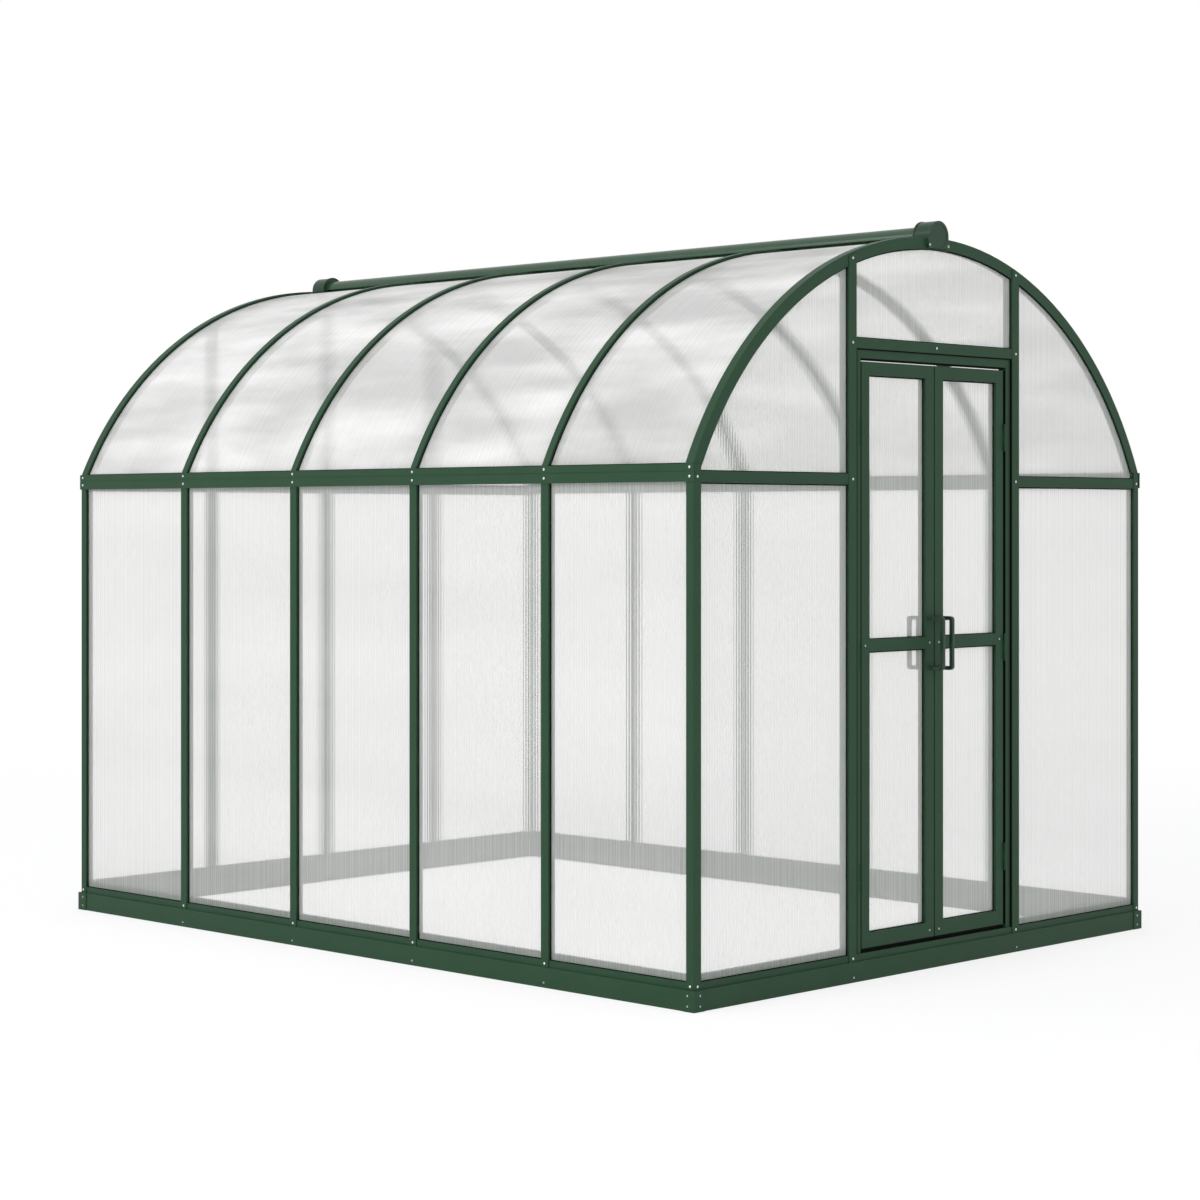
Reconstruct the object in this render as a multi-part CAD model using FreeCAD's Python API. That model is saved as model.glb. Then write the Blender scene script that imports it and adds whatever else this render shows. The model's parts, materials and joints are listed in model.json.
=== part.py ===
import FreeCAD, Part
import math
import os

# Polycarbonate greenhouse with a barrel roof and a double door.
# Millimetres. The origin is the middle of the footprint on the ground, +Z is up,
# the doors are in the front wall at -Y, and +X is to the right of a person who faces them.

# Base
base_width = 2400.0
base_length = 3160.0
sill_depth = 48.0
fascia_height = 65.0
lip_height = 22.0
lip_depth = 38.0
leg_height = 22.0
leg_thickness = 12.0
leg_clearance = 0.3
bracket_leg = 45.0
bracket_sheet = 3.0

# Walls
wall_inset = 4.0
bays = 5
rear_panels = 4
post_width = 32.0
side_post_width = 35.0
post_depth = 30.0
gable_post_depth = 40.0
post_chamfer = 1.5
corner_chamfer = 4.0
lap_sheet = 3.0
door_post_width = 40.0
eave_top = 1650.0
eave_height = 55.0
eave_plate = 3.0
eave_body_height = 50.0
eave_line_drop = 22.0
eave_line_height = 2.5
eave_line_depth = 1.0
eave_end_proud = 2.0
gable_rail_drop = 22.0
gable_rail_height = 35.0
rail_setback = 2.0
rail_depth = 28.0

# Glazing
sheet_thickness = 4.0
glazing_recess = 10.0
glazing_clearance = 0.3
seat_depth = 6.0
sheet_entry = 4.5

# Roof
roof_rise = 764.0
arch_depth = 38.0
arch_width = 28.0
end_arch_width = 34.0
arch_chamfer = 1.5
arch_seat_clearance = 0.3
lap_margin = 8.0
splice_length = 120.0
splice_sheet = 3.0
splice_side = 3.0
front_splice_side = 0.5
ridge_beam_width = 24.0
ridge_beam_height = 40.0
ridge_rise = 6.0
ridge_radius = 35.0
cap_radius = 50.0
cap_length = 60.0
cap_plate = 12.0
cap_skirt = 20.0
cap_clearance = 0.3
cap_rim = 2.0
cap_rim_length = 5.0
cap_dial_radius = 40.0
cap_dial_depth = 1.2
shield_toe_gap = 2.0
shield_foot_width = 116.0
shield_foot_drop = 32.0
shield_neck_drop = 8.0
shield_toe_width = 100.0

# Door frame
door_opening = 842.0
jamb_width = 28.0
jamb_depth = 20.0
jamb_setback = 8.0
header_bottom = 2000.0
header_height = 31.0
transom_height = 34.0

# Door leaves
leaf_setback = 12.0
leaf_depth = 32.0
leaf_side_gap = 10.0
leaf_top_gap = 10.0
leaf_bottom_gap = 13.0
meeting_gap = 5.0
hinge_stile = 40.0
meeting_stile = 45.0
top_rail = 43.0
bottom_rail = 48.0
mid_rail = 40.0
mid_rail_centre = 1074.0
leaf_glazing_recess = 12.0

# Hinges
hinge_heights = (330.0, 1045.0, 1760.0)
hinge_length = 90.0
knuckle_radius = 4.5
pin_radius = 2.5
pin_clearance = 0.1
pin_head_radius = 3.6
pin_head = 2.0
knuckle_gap = 0.5
hinge_plate = 3.5
hinge_plate_depth = 15.0

# Pulls
pull_height = 169.0
pull_centre = 1072.0
pull_reach = 60.0
pull_rod_radius = 6.5
pull_bend = 18.0
pull_foot_radius = 11.0
pull_foot = 4.0

# Places worked out from the sizes above
half_width = base_width / 2
half_length = base_length / 2
wall_x = half_width - wall_inset
wall_y = half_length - wall_inset
sill_top = fascia_height + lip_height
lip_front = wall_inset + lap_sheet
leg_top = sill_top + leg_height
groove_near = glazing_recess - glazing_clearance
groove_far = glazing_recess + sheet_thickness + glazing_clearance
eave_bottom = eave_top - eave_body_height
gable_rail_top = eave_top - gable_rail_drop
arch_radius = (wall_x ** 2 + roof_rise ** 2) / (2 * roof_rise)
arch_centre = eave_top + roof_rise - arch_radius
arch_inner = arch_radius - arch_depth
roof_outer = arch_radius - glazing_recess
roof_inner = roof_outer - sheet_thickness
gable_edge = arch_inner + sheet_entry
corner_inner_x = wall_x - post_width
corner_centre_y = wall_y - post_width / 2
bay_pitch = 2 * corner_centre_y / bays
post_rows = [-corner_centre_y + bay_pitch * n for n in range(1, bays)]
rear_pitch = 2 * (wall_x - post_width / 2) / rear_panels
rear_columns = [rear_pitch * (n - rear_panels / 2) for n in range(1, rear_panels)]
door_post_inner = door_opening / 2
door_post_outer = door_post_inner + door_post_width
ridge_base = arch_centre + arch_radius + ridge_rise
shield_drop = ridge_rise + arch_depth - shield_toe_gap
end_face = wall_y - lap_sheet
end_arch_y = end_face - end_arch_width / 2
arch_rows = [-end_arch_y] + post_rows + [end_arch_y]
transom_bottom = header_bottom + header_height
transom_top = transom_bottom + transom_height
jamb_inner = door_post_inner - jamb_width
leaf_outer = jamb_inner - leaf_side_gap
leaf_inner = meeting_gap / 2
leaf_bottom = sill_top + leaf_bottom_gap
leaf_top = header_bottom - leaf_top_gap
leaf_front = -wall_y + leaf_setback
leaf_back = leaf_front + leaf_depth
light_low = leaf_bottom + bottom_rail
light_high = leaf_top - top_rail
light_inner = leaf_inner + meeting_stile
light_outer = leaf_outer - hinge_stile
hinge_x = jamb_inner - leaf_side_gap / 2
hinge_y = leaf_front - knuckle_radius - knuckle_gap

Y_AXIS = FreeCAD.Vector(0, 1, 0)
Z_AXIS = FreeCAD.Vector(0, 0, 1)
ORIGIN = FreeCAD.Vector(0, 0, 0)


def block(low, high):
    """A box from its lowest to its highest corner."""
    size = [b - a for a, b in zip(low, high)]
    return Part.makeBox(*size, FreeCAD.Vector(*low))


def prism(points, direction):
    """A flat outline of corner points, pushed along a direction."""
    loop = [FreeCAD.Vector(*p) for p in points]
    face = Part.Face(Part.makePolygon(loop + loop[:1]))
    return face.extrude(FreeCAD.Vector(*direction))


def flip_x(shape):
    """The same piece on the other side of the doorway."""
    return shape.mirror(ORIGIN, FreeCAD.Vector(1, 0, 0))


def flip_y(shape):
    """The same piece at the other end of the house."""
    return shape.mirror(ORIGIN, Y_AXIS)


def four_corners(shape):
    """One piece for each corner of the house, from the one at +X, +Y."""
    return [shape, flip_x(shape), flip_y(shape), flip_x(flip_y(shape))]


def round_bar(radius, start, direction, length):
    return Part.makeCylinder(radius, length, start, direction)


def roof_disc(radius, y_low, y_high):
    """A full cylinder about the roof's centre line, which roof cuts are made with."""
    start = FreeCAD.Vector(0, y_low, arch_centre)
    return round_bar(radius, start, Y_AXIS, y_high - y_low)


def roof_shell(inner, outer, y_low, y_high):
    """A tube about the roof's centre line."""
    return roof_disc(outer, y_low, y_high).cut(roof_disc(inner, y_low, y_high))


def sheet_tube(y_low, y_high):
    """The tube that the roof sheets lie in, with their clearance."""
    return roof_shell(roof_inner - glazing_clearance, roof_outer + glazing_clearance, y_low, y_high)


def under_arch(radius, y_low, y_high):
    """The space under an arch of this radius, down to the ground."""
    lower = block((-radius, y_low, 0), (radius, y_high, arch_centre))
    return roof_disc(radius, y_low, y_high).fuse(lower)


def save(name, *solids):
    shape = solids[0] if len(solids) == 1 else Part.makeCompound(solids)
    shape.exportStep("parts/" + name + ".step")


def clear_spans(end, posts, width):
    """Clear widths between two corner posts at -end and end, past the posts that stand between them."""
    h = width / 2
    lows = [-end] + [p + h for p in posts]
    highs = [p - h for p in posts] + [end]
    return list(zip(lows, highs))


def side_spans():
    return clear_spans(wall_y - post_width, post_rows, side_post_width)


def rear_spans():
    return clear_spans(corner_inner_x, rear_columns, post_width)


def front_spans():
    """Clear widths of the front wall on each side of the doorway."""
    return [(-corner_inner_x, -door_post_outer), (door_post_outer, corner_inner_x)]


# Base

def end_sill(spans):
    """Front or rear sill: a mitred box section, the lip that carries the sheets and a leg behind each."""
    y = -half_length
    plan = [(-half_width, y, 0), (half_width, y, 0)]
    plan += [(half_width - sill_depth, y + sill_depth, 0), (-half_width + sill_depth, y + sill_depth, 0)]
    sill = prism(plan, (0, 0, fascia_height))
    low = (-corner_inner_x, y + lip_front, fascia_height)
    lip = block(low, (corner_inner_x, y + lip_front + lip_depth, sill_top))
    slot = block(
        (-corner_inner_x, -wall_y + groove_near, sill_top - seat_depth),
        (corner_inner_x, -wall_y + groove_far, sill_top),
    )
    sill = sill.fuse(lip.cut(slot).common(prism(plan, (0, 0, sill_top))))
    leg_front = -wall_y + groove_far
    for x_low, x_high in spans:
        leg_end = (x_high - leg_clearance, leg_front + leg_thickness, leg_top)
        sill = sill.fuse(block((x_low + leg_clearance, leg_front, sill_top), leg_end))
    return sill.removeSplitter()


def right_sill():
    """The long sill, mitred to meet the front and rear ones."""
    x = half_width
    plan = [(x, -half_length, 0), (x, half_length, 0)]
    plan += [(x - sill_depth, half_length - sill_depth, 0), (x - sill_depth, -half_length + sill_depth, 0)]
    sill = prism(plan, (0, 0, fascia_height))
    end = wall_y - post_width
    lip = block((x - lip_front - lip_depth, -end, fascia_height), (x - lip_front, end, sill_top))
    slot = block(
        (wall_x - groove_far, -end, sill_top - seat_depth),
        (wall_x - groove_near, end, sill_top),
    )
    sill = sill.fuse(lip.cut(slot).common(prism(plan, (0, 0, sill_top))))
    leg_face = wall_x - groove_far
    for y_low, y_high in side_spans():
        leg_low = (leg_face - leg_thickness, y_low + leg_clearance, sill_top)
        sill = sill.fuse(block(leg_low, (leg_face, y_high - leg_clearance, leg_top)))
    return sill.removeSplitter()


def corner_bracket():
    """Angle plate that wraps a corner of the base."""
    x = half_width
    y = half_length
    outer_x = x + bracket_sheet
    outer_y = y + bracket_sheet
    plan = [(outer_x, y - bracket_leg, 0), (outer_x, outer_y, 0), (x - bracket_leg, outer_y, 0)]
    plan += [(x - bracket_leg, y, 0), (x, y, 0), (x, y - bracket_leg, 0)]
    return prism(plan, (0, 0, fascia_height))


# Posts

def post_section(width, depth):
    """Outline of a post: u runs along the wall, v runs in from its outer face."""
    h = width / 2
    right = [(h - post_chamfer, 0), (h, post_chamfer), (h, groove_near), (h - seat_depth, groove_near)]
    right += [(h - seat_depth, groove_far), (h, groove_far), (h, depth)]
    return right + [(-u, v) for u, v in reversed(right)]


def side_post(y):
    """Post of the right wall, with a foot that laps the sill's lip."""
    outline = [(wall_x - v, y + u, sill_top) for u, v in post_section(side_post_width, post_depth)]
    shaft = prism(outline, (0, 0, eave_bottom - sill_top))
    h = side_post_width / 2 - post_chamfer
    foot = block((wall_x - lap_sheet, y - h, fascia_height), (wall_x, y + h, sill_top))
    return shaft.fuse(foot).removeSplitter()


def gable_post(x, width):
    """Post of the front wall that runs up to the arch and, away from the ridge cap, laps its face."""
    high = arch_centre + arch_radius
    top = arch_inner - arch_seat_clearance
    section = post_section(width, gable_post_depth)
    outline = [(x + u, -wall_y + v, sill_top) for u, v in section]
    shaft = prism(outline, (0, 0, high - sill_top))
    shaft = shaft.common(under_arch(top, -wall_y, -wall_y + gable_post_depth))
    h = width / 2 - post_chamfer
    lap_top = arch_radius - lap_margin if abs(x) > cap_radius + h else top
    strap = block((x - h, -wall_y, fascia_height), (x + h, -wall_y + lap_sheet, high))
    strap = strap.common(under_arch(lap_top, -wall_y, -wall_y + lap_sheet))
    return shaft.fuse(strap).removeSplitter()


def corner_post():
    """Square post with a sheet groove on each inner face, for the corner at +X, +Y."""
    w = post_width
    c = corner_chamfer
    s = w - seat_depth
    half = [(c, 0), (w, 0), (w, groove_near), (s, groove_near), (s, groove_far), (w, groove_far)]
    outline = half + [(w, w)] + [(b, a) for a, b in reversed(half)]
    corners = [(wall_x - a, wall_y - b, fascia_height) for a, b in outline]
    post = prism(corners, (0, 0, eave_top - fascia_height))
    return post.cut(roof_groove())


def roof_groove():
    """The groove at the eaves that the lower edges of the roof sheets stand in."""
    reach = end_face - seat_depth
    eave = block((0, -reach, eave_top - seat_depth), (half_width, reach, eave_top))
    return sheet_tube(-reach, reach).common(eave)


# Eaves and rails

def right_eave():
    """Eave of the right wall: a grooved body between the corner posts, and the plate that covers it."""
    end = wall_y - post_width
    body = block((corner_inner_x, -end, eave_bottom), (wall_x, end, eave_top))
    slot_low = (wall_x - groove_far, -end, eave_bottom)
    body = body.cut(block(slot_low, (wall_x - groove_near, end, eave_bottom + seat_depth)))
    body = body.cut(roof_groove())
    tip = wall_y + eave_end_proud
    plate = block((wall_x, -tip, eave_top - eave_height), (wall_x + eave_plate, tip, eave_top))
    line_top = eave_top - eave_line_drop
    line_low = (wall_x + eave_plate - eave_line_depth, -tip, line_top - eave_line_height)
    plate = plate.cut(block(line_low, (wall_x + eave_plate, tip, line_top)))
    return body.fuse(plate).removeSplitter()


def grooved_rail(x_low, x_high, z_low, z_high, grooves):
    """Front-wall rail between two posts, grooved for the sheets above or below it."""
    low = (x_low, -wall_y + rail_setback, z_low)
    rail = block(low, (x_high, -wall_y + rail_setback + rail_depth, z_high))
    for z in grooves:
        slot_low = (x_low, -wall_y + groove_near, z - seat_depth)
        rail = rail.cut(block(slot_low, (x_high, -wall_y + groove_far, z + seat_depth)))
    return rail


def gable_rail(x_low, x_high):
    low = gable_rail_top - gable_rail_height
    return grooved_rail(x_low, x_high, low, gable_rail_top, (low, gable_rail_top))


# Arches and ridge

def arch_span(y):
    """Front and rear faces of the arch whose middle is at y."""
    half = end_arch_width / 2 if abs(y) == end_arch_y else arch_width / 2
    return y - half, y + half


def grooved_side(h):
    """One side of an arch's section, as offsets from its middle and radii, with the roof sheet's groove."""
    outer = arch_radius - groove_near
    inner = arch_radius - groove_far
    groove = [(h, outer), (h - seat_depth, outer), (h - seat_depth, inner), (h, inner)]
    return [(h - arch_chamfer, arch_radius), (h, arch_radius - arch_chamfer)] + groove + [(h, arch_inner)]


def plain_side(h):
    """The side of an end arch that faces out, with the groove of the gable sheet in its underside."""
    near = h + lap_sheet - groove_near
    far = h + lap_sheet - groove_far
    top = arch_inner + seat_depth
    under = [(h, arch_inner), (near, arch_inner), (near, top), (far, top), (far, arch_inner)]
    return [(h - arch_chamfer, arch_radius), (h, arch_radius - arch_chamfer)] + under


def arch_half(y):
    """Right half of a bent arch: its section turned about the roof's centre line."""
    low, high = arch_span(y)
    h = (high - low) / 2
    front = plain_side(h) if y == -end_arch_y else grooved_side(h)
    rear = plain_side(h) if y == end_arch_y else grooved_side(h)
    outline = rear + [(-u, r) for u, r in reversed(front)]
    corners = [FreeCAD.Vector(r, y + u, arch_centre) for u, r in outline]
    section = Part.Face(Part.makePolygon(corners + corners[:1]))
    bent = section.revolve(FreeCAD.Vector(0, y, arch_centre), Y_AXIS, -90)
    return bent.common(block((0, low, eave_top), (half_width, high, ridge_base)))


def splice_plate(y):
    """Bent plate under the joint of an arch, kept in front of the sheet in the front gable."""
    low, high = arch_span(y)
    low, high = low + splice_side, high - splice_side
    if y == -end_arch_y:
        low, high = -end_face + front_splice_side, -wall_y + groove_near - front_splice_side
    tube = roof_shell(arch_inner - splice_sheet, arch_inner, low, high)
    half = splice_length / 2
    return tube.common(block((-half, low, arch_centre), (half, high, ridge_base)))


def ridge_beam():
    """Beam that crosses every arch and holds the top edges of the roof sheets."""
    h = ridge_beam_width / 2
    beam = block((-h, -end_face, ridge_base - ridge_beam_height), (h, end_face, ridge_base))
    groove_low = arch_centre + roof_inner - glazing_clearance
    groove_high = arch_centre + roof_outer + glazing_clearance
    for side in (-1, 1):
        edges = sorted((side * h, side * (h - seat_depth)))
        beam = beam.cut(block((edges[0], -end_face, groove_low), (edges[1], end_face, groove_high)))
    notch_top = arch_centre + arch_radius + arch_seat_clearance
    for y in arch_rows:
        low, high = arch_span(y)
        low, high = low - arch_seat_clearance, high + arch_seat_clearance
        beam = beam.cut(block((-h, low, ridge_base - ridge_beam_height), (h, high, notch_top)))
    return beam


def half_round(radius, y_low, y_high):
    """Half cylinder that lies on the ridge beam, flat side down."""
    centre = FreeCAD.Vector(0, y_low, ridge_base)
    bar = round_bar(radius, centre, Y_AXIS, y_high - y_low)
    return bar.common(block((-radius, y_low, ridge_base), (radius, y_high, ridge_base + radius)))


def ridge_cover():
    return half_round(ridge_radius, -end_face, end_face)


def front_ridge_cap():
    """End cap: a rimmed hood over the ridge cover and a shield plate that laps the front arch."""
    y = -end_face
    back = y + cap_length
    r = cap_radius
    hood = half_round(r, y, back).fuse(half_round(r + cap_rim, back - cap_rim_length, back))
    skirt = block((-r, y, ridge_base - cap_skirt), (r, back, ridge_base))
    skirt = skirt.cut(roof_disc(arch_radius + arch_seat_clearance, y, back))
    gap = ridge_beam_width / 2 + cap_clearance
    hood = hood.fuse(skirt).cut(half_round(ridge_radius + cap_clearance, y, back))
    hood = hood.cut(block((-gap, y, ridge_base - cap_skirt), (gap, back, ridge_base)))
    shield = half_round(r, y - cap_plate, y)
    edge = [(r, 0), (r, shield_neck_drop), (shield_foot_width / 2, shield_foot_drop)]
    edge += [(shield_toe_width / 2, shield_drop)]
    edge += [(-x, drop) for x, drop in reversed(edge)]
    shield = shield.fuse(prism([(x, y, ridge_base - drop) for x, drop in edge], (0, -cap_plate, 0)))
    dial_start = FreeCAD.Vector(0, y - cap_plate, ridge_base)
    shield = shield.cut(round_bar(cap_dial_radius, dial_start, Y_AXIS, cap_dial_depth))
    return hood.fuse(shield).removeSplitter()


# Sheets

def side_sheet(y_low, y_high):
    """Right-wall sheet between two posts, standing in the sill's groove."""
    x = wall_x - glazing_recess
    low = (x - sheet_thickness, y_low - sheet_entry, sill_top - seat_depth)
    return block(low, (x, y_high + sheet_entry, eave_bottom + sheet_entry))


def front_sheet(x_low, x_high, z_low, z_high):
    """Front-wall sheet between two posts; its top follows the arch where it reaches it."""
    y = -wall_y + glazing_recess
    low = (x_low - sheet_entry, y, z_low - seat_depth)
    sheet = block(low, (x_high + sheet_entry, y + sheet_thickness, z_high + sheet_entry))
    return sheet.common(under_arch(gable_edge, y, y + sheet_thickness))


def wall_sheet(x_low, x_high):
    return front_sheet(x_low, x_high, sill_top, gable_rail_top - gable_rail_height)


def gable_sheet(x_low, x_high, z_low):
    return front_sheet(x_low, x_high, z_low, ridge_base)


def roof_sheet(y_low, y_high):
    """Right-slope sheet between two arches, from the ridge beam down to the eave."""
    low = arch_span(y_low)[1] - sheet_entry
    high = arch_span(y_high)[0] + sheet_entry
    tube = roof_shell(roof_inner, roof_outer, low, high)
    edge = ridge_beam_width / 2 - sheet_entry
    return tube.common(block((edge, low, eave_top - seat_depth), (half_width, high, ridge_base)))


# Door frame

def door_header():
    y = -wall_y + jamb_setback
    low = (-door_post_inner, y, header_bottom)
    return block(low, (door_post_inner, y + jamb_depth, transom_bottom))


def right_jamb():
    y = -wall_y + jamb_setback
    return block((jamb_inner, y, sill_top), (door_post_inner, y + jamb_depth, header_bottom))


# Right door leaf

def leaf_bar(corners):
    """Mitred leaf bar from its outline in the front view, grooved for the sheets."""
    bar = prism([(x, leaf_front, z) for x, z in corners], (0, leaf_depth, 0))
    near = leaf_front + leaf_glazing_recess - glazing_clearance
    far = near + sheet_thickness + 2 * glazing_clearance
    slot_low = (light_inner - seat_depth, near, light_low - seat_depth)
    return bar.cut(block(slot_low, (light_outer + seat_depth, far, light_high + seat_depth)))


def leaf_hinge_stile():
    top = [(leaf_outer, leaf_top), (light_outer, light_high)]
    return leaf_bar([(leaf_outer, leaf_bottom)] + top + [(light_outer, light_low)])


def leaf_meeting_stile():
    top = [(leaf_inner, leaf_top), (light_inner, light_high)]
    return leaf_bar([(leaf_inner, leaf_bottom)] + top + [(light_inner, light_low)])


def leaf_rails():
    outer = (leaf_inner, leaf_outer)
    inner = (light_outer, light_inner)
    top = [(x, leaf_top) for x in outer] + [(x, light_high) for x in inner]
    low = [(x, leaf_bottom) for x in outer] + [(x, light_low) for x in inner]
    half = mid_rail / 2
    middle = block(
        (light_inner, leaf_front, mid_rail_centre - half), (light_outer, leaf_back, mid_rail_centre + half)
    )
    near = leaf_front + leaf_glazing_recess - glazing_clearance
    far = near + sheet_thickness + 2 * glazing_clearance
    for z in (mid_rail_centre - half, mid_rail_centre + half):
        slot = block((light_inner, near, z - seat_depth), (light_outer, far, z + seat_depth))
        middle = middle.cut(slot)
    return [leaf_bar(top), middle, leaf_bar(low)]


def leaf_sheets():
    y = leaf_front + leaf_glazing_recess
    half = mid_rail / 2
    spans = [(light_low, mid_rail_centre - half), (mid_rail_centre + half, light_high)]
    x_low = light_inner - sheet_entry
    x_high = light_outer + sheet_entry
    return [
        block((x_low, y, low - seat_depth), (x_high, y + sheet_thickness, high + sheet_entry))
        for low, high in spans
    ]


def pull(outward):
    """D-shaped pull on one face of the leaf; outward is -1 on the front and 1 on the back."""
    x = leaf_inner + meeting_stile / 2
    y = leaf_front if outward < 0 else leaf_back
    r = pull_rod_radius
    reach = outward * (pull_reach - r)
    low = pull_centre - pull_height / 2 + r
    high = pull_centre + pull_height / 2 - r
    bend = pull_bend
    turn = outward * bend
    slack = bend * (1 - math.sqrt(0.5))

    def at(dy, z):
        return FreeCAD.Vector(x, y + dy, z)

    edges = [
        Part.LineSegment(at(0, high), at(reach - turn, high)),
        Part.Arc(at(reach - turn, high), at(reach - outward * slack, high - slack), at(reach, high - bend)),
        Part.LineSegment(at(reach, high - bend), at(reach, low + bend)),
        Part.Arc(at(reach, low + bend), at(reach - outward * slack, low + slack), at(reach - turn, low)),
        Part.LineSegment(at(reach - turn, low), at(0, low)),
    ]
    path = Part.Wire([e.toShape() for e in edges])
    direction = FreeCAD.Vector(0, outward, 0)
    ring = Part.Wire(Part.makeCircle(r, at(0, high), direction))
    rod = path.makePipeShell([ring], True, False)
    for z in (low, high):
        rod = rod.fuse(round_bar(pull_foot_radius, at(0, z), direction, pull_foot))
    return rod.removeSplitter()


# Hinges

def knuckle(low, high):
    """One barrel of a hinge, bored for the pin."""
    start = FreeCAD.Vector(hinge_x, hinge_y, low)
    barrel = round_bar(knuckle_radius, start, Z_AXIS, high - low)
    return barrel.cut(round_bar(pin_radius + pin_clearance, start, Z_AXIS, high - low))


def pin_bore(z):
    start = FreeCAD.Vector(hinge_x, hinge_y, z - hinge_length)
    return round_bar(pin_radius + pin_clearance, start, Z_AXIS, 2 * hinge_length)


def frame_hinge(z):
    """Fixed half of a hinge: a plate on the jamb and its two outer knuckles."""
    half = hinge_length / 2
    third = hinge_length / 6
    solid = None
    for low, high in ((z - half, z - third - knuckle_gap), (z + third + knuckle_gap, z + half)):
        plate_low = (jamb_inner - hinge_plate, hinge_y, low)
        plate = block(plate_low, (jamb_inner, hinge_y + hinge_plate_depth, high))
        piece = knuckle(low, high).fuse(plate.cut(pin_bore(z)))
        solid = piece if solid is None else solid.fuse(piece)
    back_low = (jamb_inner - hinge_plate, hinge_y + knuckle_radius + 2 * knuckle_gap, z - half)
    back = block(back_low, (jamb_inner, hinge_y + hinge_plate_depth, z + half))
    return solid.fuse(back).removeSplitter()


def leaf_hinge(z):
    """Moving half of a hinge: a plate on the leaf's edge and its middle knuckle."""
    half = hinge_length / 2
    third = hinge_length / 6
    back_low = (leaf_outer, hinge_y + knuckle_radius + 2 * knuckle_gap, z - half)
    back = block(back_low, (leaf_outer + hinge_plate, leaf_front + hinge_plate_depth, z + half))
    neck = block(
        (leaf_outer, hinge_y, z - third), (leaf_outer + hinge_plate, hinge_y + hinge_plate_depth, z + third)
    )
    return knuckle(z - third, z + third).fuse(neck.cut(pin_bore(z))).fuse(back).removeSplitter()


def hinge_pin(z):
    """Pin with a head that rests on the top knuckle."""
    half = hinge_length / 2
    start = FreeCAD.Vector(hinge_x, hinge_y, z - half)
    shank = round_bar(pin_radius, start, Z_AXIS, hinge_length)
    head = FreeCAD.Vector(hinge_x, hinge_y, z + half)
    return shank.fuse(round_bar(pin_head_radius, head, Z_AXIS, pin_head))


# Assembly

def save_base():
    save("base_sill_front", end_sill(front_spans()))
    save("base_sill_rear", flip_y(end_sill(rear_spans())))
    save("base_sill_right", right_sill())
    save("base_sill_left", flip_x(right_sill()))
    save("base_corner_brackets", *four_corners(corner_bracket()))


def save_posts():
    places = ("rear_right", "rear_left", "front_right", "front_left")
    for place, post in zip(places, four_corners(corner_post())):
        save("corner_post_" + place, post)
    right = [side_post(y) for y in post_rows]
    save("side_posts_right", *right)
    save("side_posts_left", *[flip_x(p) for p in right])
    save("rear_posts", *[flip_y(gable_post(x, post_width)) for x in rear_columns])
    door_post = gable_post(door_post_inner + door_post_width / 2, door_post_width)
    save("door_post_right", door_post)
    save("door_post_left", flip_x(door_post))


def save_rails():
    save("eave_right", right_eave())
    save("eave_left", flip_x(right_eave()))
    rail = gable_rail(door_post_outer, corner_inner_x)
    save("gable_rail_front_right", rail)
    save("gable_rail_front_left", flip_x(rail))
    save("gable_rails_rear", *[flip_y(gable_rail(a, b)) for a, b in rear_spans()])


def save_roof():
    last = len(arch_rows) - 1
    for n, y in enumerate(arch_rows):
        half = arch_half(y)
        name = "arch_front" if n == 0 else "arch_rear" if n == last else "arch_" + str(n + 1)
        save(name, half, flip_x(half))
    # the post in the middle of the rear wall carries the joint of the last arch
    save("arch_splice_plates", *[splice_plate(y) for y in arch_rows[:-1]])
    save("ridge_beam", ridge_beam())
    save("ridge_cover", ridge_cover())
    save("ridge_cap_front", front_ridge_cap())
    save("ridge_cap_rear", flip_y(front_ridge_cap()))


def save_sheets():
    right_roof = [roof_sheet(a, b) for a, b in zip(arch_rows, arch_rows[1:])]
    save("roof_sheets_right", *right_roof)
    save("roof_sheets_left", *[flip_x(s) for s in right_roof])
    right_wall = [side_sheet(a, b) for a, b in side_spans()]
    save("wall_sheets_right", *right_wall)
    save("wall_sheets_left", *[flip_x(s) for s in right_wall])
    front = wall_sheet(door_post_outer, corner_inner_x)
    save("front_sheet_right", front)
    save("front_sheet_left", flip_x(front))
    gable = gable_sheet(door_post_outer, corner_inner_x, gable_rail_top)
    save("gable_sheet_right", gable)
    save("gable_sheet_left", flip_x(gable))
    save("transom_sheet", gable_sheet(-door_post_inner, door_post_inner, transom_top))
    save("rear_sheets", *[flip_y(wall_sheet(a, b)) for a, b in rear_spans()])
    save("rear_gable_sheets", *[flip_y(gable_sheet(a, b, gable_rail_top)) for a, b in rear_spans()])


def save_door_frame():
    edges = (-door_post_inner, door_post_inner)
    save("door_transom", grooved_rail(*edges, transom_bottom, transom_top, (transom_top,)))
    save("door_header", door_header())
    save("door_jamb_right", right_jamb())
    save("door_jamb_left", flip_x(right_jamb()))
    fixed = [frame_hinge(z) for z in hinge_heights]
    save("frame_hinge_leaves", *fixed, *[flip_x(s) for s in fixed])


def save_leaves():
    pieces = {
        "hinge_stile": [leaf_hinge_stile()],
        "meeting_stile": [leaf_meeting_stile()],
        "rails": leaf_rails(),
        "sheets": leaf_sheets(),
        "pulls": [pull(-1), pull(1)],
        "hinge_leaves": [leaf_hinge(z) for z in hinge_heights],
        "hinge_pins": [hinge_pin(z) for z in hinge_heights],
    }
    for name, solids in pieces.items():
        save("right_door_" + name, *solids)
        save("left_door_" + name, *[flip_x(s) for s in solids])


os.makedirs("parts", exist_ok=True)
save_base()
save_posts()
save_rails()
save_roof()
save_sheets()
save_door_frame()
save_leaves()
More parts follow.
